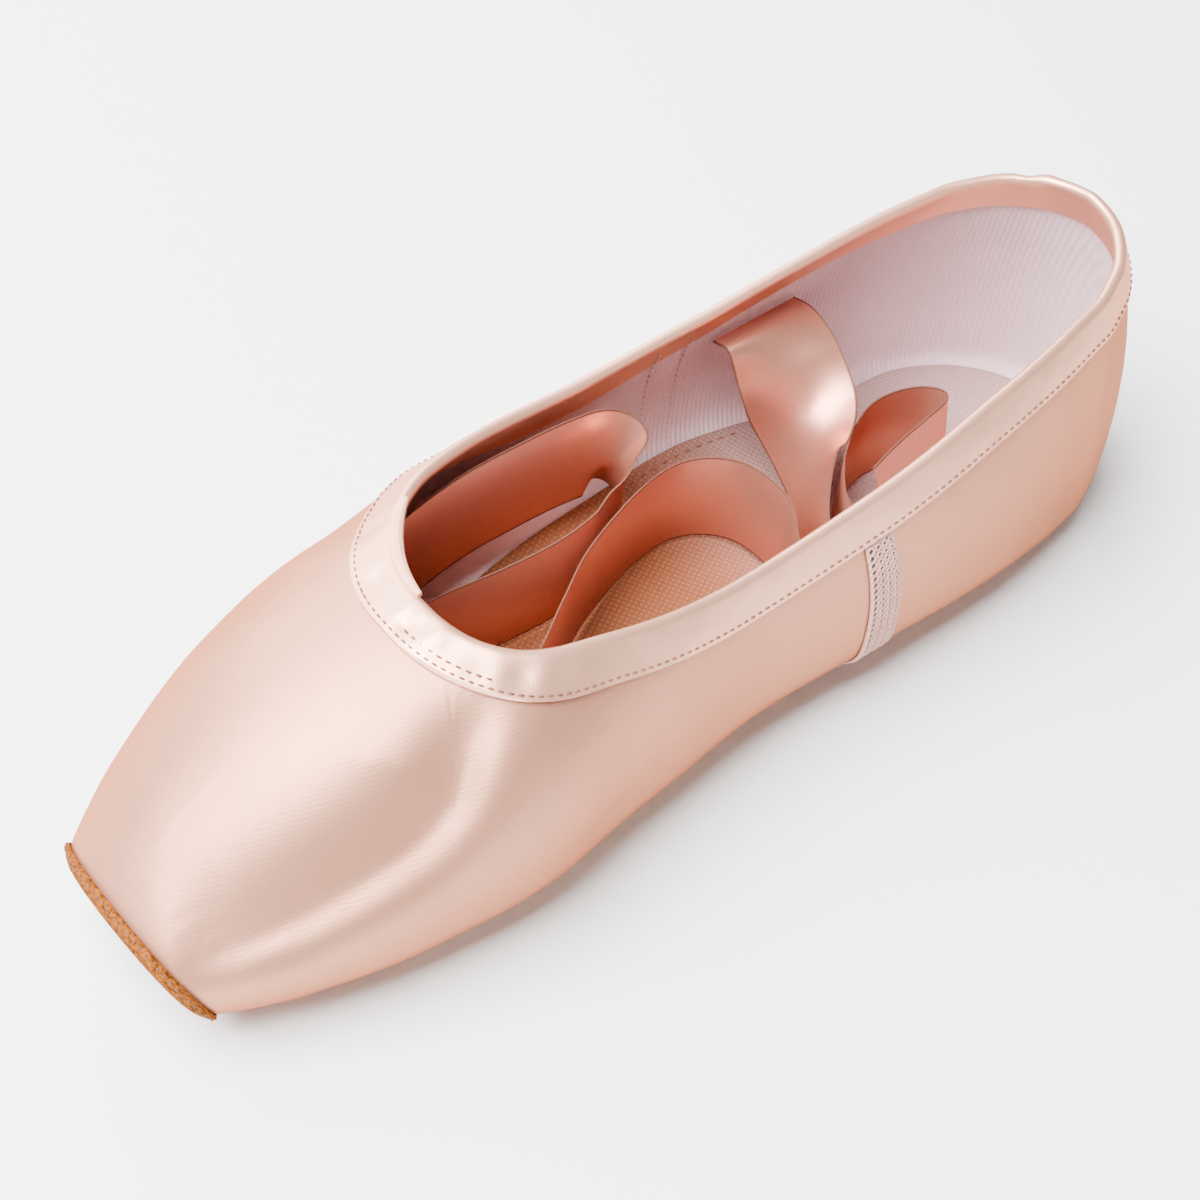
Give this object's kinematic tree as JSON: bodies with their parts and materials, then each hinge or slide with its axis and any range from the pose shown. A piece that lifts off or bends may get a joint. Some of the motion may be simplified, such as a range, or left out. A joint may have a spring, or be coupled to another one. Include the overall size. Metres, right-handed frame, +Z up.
{
  "type": "pointe shoe",
  "caption": "Satin pointe shoe with a boxed toe, bound collar, side mesh strips, thin outsole, insole, and satin ribbons lying loose inside it.",
  "frame": {"origin": "on the floor under the middle of the shoe's length and width", "axes": "+Z up, toe platform towards -Y, heel towards +Y, +X across the shoe"},
  "size_m": [0.0753, 0.2382, 0.0649],
  "materials": {
    "satin": "pink satin, soft broad sheen",
    "suede": "tan suede, matt",
    "binding_satin": "peach satin bias tape",
    "mesh_knit": "openwork stretch knit",
    "sole_leather": "buffed sole leather",
    "insole_fabric": "dotted beige fabric",
    "ribbon_satin": "salmon satin ribbon, glossy"
  },
  "bodies": {
    "root": {"upper": "satin", "platform_patch": "suede", "collar_binding": "binding_satin", "side_mesh_right": "mesh_knit", "side_mesh_left": "mesh_knit", "outsole": "sole_leather", "insole": "insole_fabric", "ribbon_far": "ribbon_satin", "ribbon_near": "ribbon_satin"}
  },
  "joints": []
}
